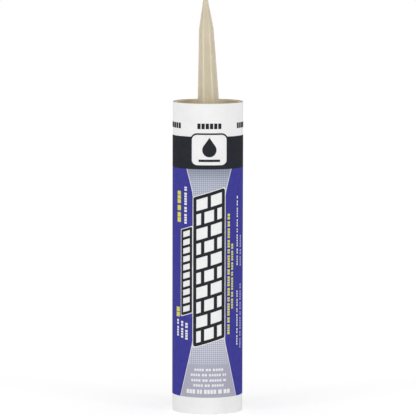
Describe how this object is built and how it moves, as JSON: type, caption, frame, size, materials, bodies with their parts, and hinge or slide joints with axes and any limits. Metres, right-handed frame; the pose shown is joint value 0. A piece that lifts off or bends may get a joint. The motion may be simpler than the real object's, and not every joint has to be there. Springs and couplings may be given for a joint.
{
  "type": "caulk tube",
  "caption": "Round paperboard sealant cartridge with a printed paper label, a moulded cap with a long tapered closed nozzle, and a sliding plunger.",
  "frame": {"origin": "centre of the tube's rear rim, in the plane that it stands on", "axes": "+Z along the tube towards the nozzle, -Y out of the front of the label, +X to the right seen from the front"},
  "size_m": [0.0492, 0.0494, 0.2908],
  "materials": {
    "paperboard": "matt wound board",
    "label_paper": "coated, satin",
    "ink_blue": "coated, satin",
    "ink_black": "coated, satin",
    "ink_silver": "coated, satin, fine screen",
    "ink_yellow": "coated, satin",
    "almond_polyethylene": "moulded, satin",
    "foil": "bright foil",
    "sealant": "wet paste",
    "white_polyethylene": "moulded, satin"
  },
  "bodies": {
    "barrel": {"barrel": "paperboard", "label": "label_paper", "ink_blue": "ink_blue", "ink_black": "ink_black", "ink_silver": "ink_silver", "ink_yellow": "ink_yellow", "nozzle_cap": "almond_polyethylene", "foil_seal": "foil", "sealant": "sealant"},
    "plunger": {"plunger": "white_polyethylene"}
  },
  "joints": [
    {"name": "plunger_slide", "type": "slide", "parent": "barrel", "child": "plunger", "axis": [0, 0, 1], "range_m": [0, 0.1784], "deforming": ["sealant"]}
  ]
}
